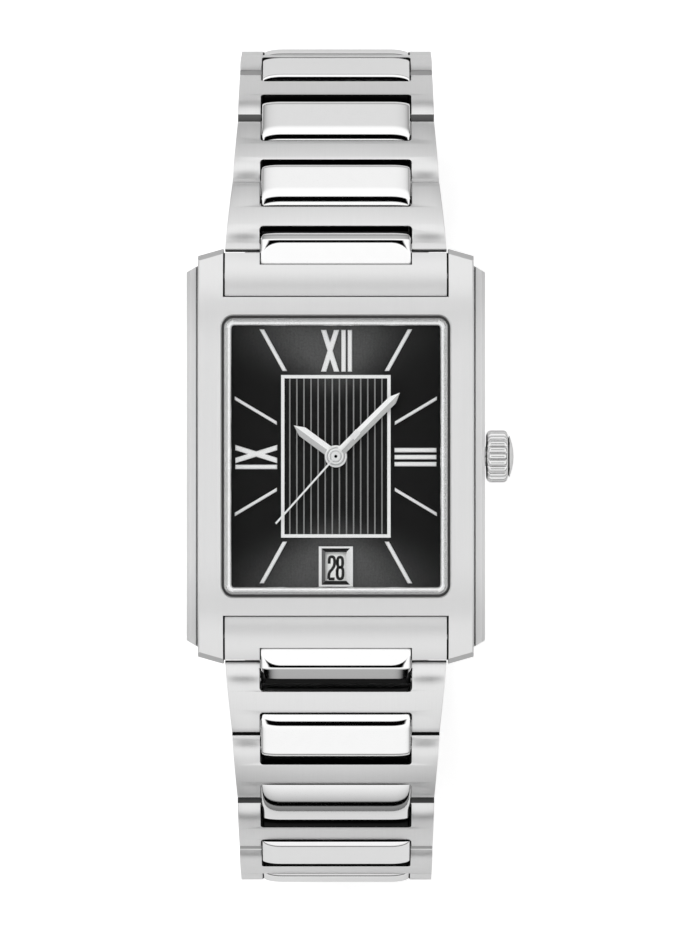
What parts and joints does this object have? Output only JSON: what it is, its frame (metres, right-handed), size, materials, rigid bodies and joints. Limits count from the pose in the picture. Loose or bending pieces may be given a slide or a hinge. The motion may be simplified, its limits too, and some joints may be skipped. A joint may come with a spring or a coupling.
{
  "type": "rectangular wristwatch",
  "caption": "Rectangular steel wristwatch with stepped case, black dial, date window and jointed link bracelet closed by a folding clasp.",
  "frame": {"origin": "centre of the case back's outer face, on the axis of the hands", "axes": "+Z out of the dial, +Y towards twelve o'clock, +X towards the crown"},
  "size_m": [0.034, 0.0898, 0.044],
  "materials": {
    "case_steel": "satin",
    "bright_steel": "gloss",
    "hand_steel": "satin",
    "dial_trim": "gloss",
    "flange_metal": "satin",
    "dial_black": "satin",
    "date_white": "matte",
    "glass": "gloss",
    "gasket_plastic": "matte",
    "rubber": "matte",
    "holder_plastic": "matte",
    "movement_brass": "satin",
    "board_green": "satin",
    "coil_copper": "satin",
    "cell_steel": "satin"
  },
  "bodies": {
    "case": {"case_middle": "case_steel", "case_back": "case_steel", "case_back_screws": "bright_steel", "case_back_gasket": "rubber", "crystal": "glass", "crystal_gasket": "gasket_plastic", "dial_flange": "flange_metal", "dial_plate": "dial_black", "dial_frame": "dial_trim", "hour_numerals": "dial_trim", "hour_batons": "dial_trim", "date_frame": "dial_trim", "movement_plate": "movement_brass", "movement_holder": "holder_plastic", "circuit_board": "board_green", "drive_coil": "coil_copper", "battery_cell": "cell_steel", "battery_clamp": "cell_steel", "crown_tube": "bright_steel", "end_link_12": "case_steel", "end_link_6": "case_steel", "end_bars": "bright_steel", "spring_bars": "bright_steel"},
    "hour_hand_body": {"hour_hand": "hand_steel", "hour_wheel": "movement_brass"},
    "minute_hand_body": {"minute_hand": "hand_steel", "cannon_pinion": "bright_steel"},
    "second_hand_body": {"second_hand": "hand_steel", "seconds_arbor": "bright_steel"},
    "minute_wheel_body": {"minute_wheel": "movement_brass"},
    "date_disc_body": {"date_disc": "date_white"},
    "setting_lever_body": {"setting_lever": "bright_steel"},
    "crown_body": {"crown": "bright_steel", "crown_stem": "bright_steel", "crown_gasket": "rubber"},
    "clasp_cover_body": {"clasp_cover": "case_steel", "clasp_cover_pins": "bright_steel"},
    "clasp_middle_body": {"clasp_blade_middle": "bright_steel", "clasp_blade_pin": "bright_steel"},
    "clasp_inner_body": {"clasp_blade_inner": "bright_steel"},
    "clasp_button_right_body": {"clasp_button_right": "bright_steel"},
    "clasp_button_left_body": {"clasp_button_left": "bright_steel"},
    "link_12_1_body": {"link_12_1": "case_steel"},
    "link_12_2_body": {"link_12_2": "case_steel"},
    "link_12_3_body": {"link_12_3": "case_steel"},
    "link_12_4_body": {"link_12_4": "case_steel"},
    "link_12_5_body": {"link_12_5": "case_steel"},
    "link_12_6_body": {"link_12_6": "case_steel"},
    "link_12_7_body": {"link_12_7": "case_steel"},
    "link_12_8_body": {"link_12_8": "case_steel"},
    "link_12_9_body": {"link_12_9": "case_steel"},
    "link_6_1_body": {"link_6_1": "case_steel"},
    "link_6_2_body": {"link_6_2": "case_steel"},
    "link_6_3_body": {"link_6_3": "case_steel"},
    "link_6_4_body": {"link_6_4": "case_steel"},
    "link_6_5_body": {"link_6_5": "case_steel"},
    "link_6_6_body": {"link_6_6": "case_steel"},
    "link_6_7_body": {"link_6_7": "case_steel"},
    "link_6_8_body": {"link_6_8": "case_steel"},
    "link_6_9_body": {"link_6_9": "case_steel"}
  },
  "joints": [
    {"name": "link_12_1_hinge", "type": "hinge", "parent": "case", "child": "link_12_1_body", "pos_m": [0, 0.02255, 0.00545], "axis": [1, 0, 0], "range_deg": [0, 29]},
    {"name": "link_12_2_hinge", "type": "hinge", "parent": "link_12_1_body", "child": "link_12_2_body", "pos_m": [0, 0.02929, 0.00216], "axis": [1, 0, 0], "range_deg": [0, 7]},
    {"name": "link_12_3_hinge", "type": "hinge", "parent": "link_12_2_body", "child": "link_12_3_body", "pos_m": [0, 0.03579, -0.00159], "axis": [1, 0, 0], "range_deg": [0, 25]},
    {"name": "link_12_4_hinge", "type": "hinge", "parent": "link_12_3_body", "child": "link_12_4_body", "pos_m": [0, 0.0404, -0.0075], "axis": [1, 0, 0], "range_deg": [0, 26]},
    {"name": "link_12_5_hinge", "type": "hinge", "parent": "link_12_4_body", "child": "link_12_5_body", "pos_m": [0, 0.04235, -0.01474], "axis": [1, 0, 0], "range_deg": [0, 24.2]},
    {"name": "link_12_6_hinge", "type": "hinge", "parent": "link_12_5_body", "child": "link_12_6_body", "pos_m": [0, 0.04154, -0.0222], "axis": [1, 0, 0], "range_deg": [0, 30.5]},
    {"name": "link_12_7_hinge", "type": "hinge", "parent": "link_12_6_body", "child": "link_12_7_body", "pos_m": [0, 0.03737, -0.02844], "axis": [1, 0, 0], "range_deg": [0, 30.5]},
    {"name": "link_12_8_hinge", "type": "hinge", "parent": "link_12_7_body", "child": "link_12_8_body", "pos_m": [0, 0.0308, -0.03205], "axis": [1, 0, 0], "range_deg": [0, 18.8]},
    {"name": "link_12_9_hinge", "type": "hinge", "parent": "link_12_8_body", "child": "link_12_9_body", "pos_m": [0, 0.02349, -0.03374], "axis": [1, 0, 0], "range_deg": [0, 14]},
    {"name": "link_6_1_hinge", "type": "hinge", "parent": "case", "child": "link_6_1_body", "pos_m": [0, -0.02255, 0.00545], "axis": [-1, 0, 0], "range_deg": [0, 19]},
    {"name": "link_6_2_hinge", "type": "hinge", "parent": "link_6_1_body", "child": "link_6_2_body", "pos_m": [0, -0.02976, 0.00338], "axis": [-1, 0, 0], "range_deg": [0, 15]},
    {"name": "link_6_3_hinge", "type": "hinge", "parent": "link_6_2_body", "child": "link_6_3_body", "pos_m": [0, -0.03638, -0.00014], "axis": [-1, 0, 0], "range_deg": [0, 25]},
    {"name": "link_6_4_hinge", "type": "hinge", "parent": "link_6_3_body", "child": "link_6_4_body", "pos_m": [0, -0.0412, -0.00588], "axis": [-1, 0, 0], "range_deg": [0, 20]},
    {"name": "link_6_5_hinge", "type": "hinge", "parent": "link_6_4_body", "child": "link_6_5_body", "pos_m": [0, -0.04413, -0.01279], "axis": [-1, 0, 0], "range_deg": [0, 34.6]},
    {"name": "link_6_6_hinge", "type": "hinge", "parent": "link_6_5_body", "child": "link_6_6_body", "pos_m": [0, -0.04301, -0.0202], "axis": [-1, 0, 0], "range_deg": [0, 23.3]},
    {"name": "link_6_7_hinge", "type": "hinge", "parent": "link_6_6_body", "child": "link_6_7_body", "pos_m": [0, -0.03939, -0.02677], "axis": [-1, 0, 0], "range_deg": [0, 23.3]},
    {"name": "link_6_8_hinge", "type": "hinge", "parent": "link_6_7_body", "child": "link_6_8_body", "pos_m": [0, -0.03371, -0.03167], "axis": [-1, 0, 0], "range_deg": [0, 27.8]},
    {"name": "link_6_9_hinge", "type": "hinge", "parent": "link_6_8_body", "child": "link_6_9_body", "pos_m": [0, -0.0265, -0.03374], "axis": [-1, 0, 0], "range_deg": [0, 17]},
    {"name": "clasp_cover_hinge", "type": "hinge", "parent": "link_12_9_body", "child": "clasp_cover_body", "pos_m": [0, 0.016, -0.034], "axis": [1, 0, 0], "range_deg": [0, 5]},
    {"name": "clasp_unfold", "type": "hinge", "parent": "clasp_cover_body", "child": "clasp_middle_body", "pos_m": [0, -0.0144, -0.034], "axis": [1, 0, 0], "range_deg": [0, 90]},
    {"name": "clasp_blade_fold", "type": "hinge", "parent": "clasp_middle_body", "child": "clasp_inner_body", "pos_m": [0, 0.0104, -0.03332], "axis": [-1, 0, 0], "range_deg": [0, 120]},
    {"name": "clasp_button_right_press", "type": "slide", "parent": "clasp_cover_body", "child": "clasp_button_right_body", "axis": [-1, 0, 0], "range_m": [0, 0.0004], "stiffness_N_per_m": 800},
    {"name": "clasp_button_left_press", "type": "slide", "parent": "clasp_cover_body", "child": "clasp_button_left_body", "axis": [1, 0, 0], "range_m": [0, 0.0004], "stiffness_N_per_m": 800},
    {"name": "minute_hand_turn", "type": "hinge", "parent": "case", "child": "minute_hand_body", "pos_m": [0, 0, 0.005], "axis": [0, 0, -1], "continuous": true},
    {"name": "hour_hand_turn", "type": "hinge", "parent": "case", "child": "hour_hand_body", "pos_m": [0, 0, 0.005], "axis": [0, 0, -1], "continuous": true},
    {"name": "second_hand_turn", "type": "hinge", "parent": "case", "child": "second_hand_body", "pos_m": [0, 0, 0.005], "axis": [0, 0, -1], "continuous": true},
    {"name": "minute_wheel_turn", "type": "hinge", "parent": "case", "child": "minute_wheel_body", "pos_m": [0.0026, 0, 0.005], "axis": [0, 0, -1], "continuous": true},
    {"name": "date_disc_turn", "type": "hinge", "parent": "case", "child": "date_disc_body", "pos_m": [0, 0, 0.005], "axis": [0, 0, -1], "continuous": true},
    {"name": "crown_pull", "type": "slide", "parent": "case", "child": "setting_lever_body", "axis": [1, 0, 0], "range_m": [0, 0.0012]},
    {"name": "crown_turn", "type": "hinge", "parent": "setting_lever_body", "child": "crown_body", "pos_m": [0.0155, 0, 0.004], "axis": [1, 0, 0], "continuous": true}
  ],
  "couplings": [
    {"joint": "hour_hand_turn", "follows": "minute_hand_turn", "ratio": 0.083333},
    {"joint": "second_hand_turn", "follows": "minute_hand_turn", "ratio": 60},
    {"joint": "minute_wheel_turn", "follows": "minute_hand_turn", "ratio": -0.33333},
    {"joint": "date_disc_turn", "follows": "minute_hand_turn", "ratio": 0.0013441}
  ]
}
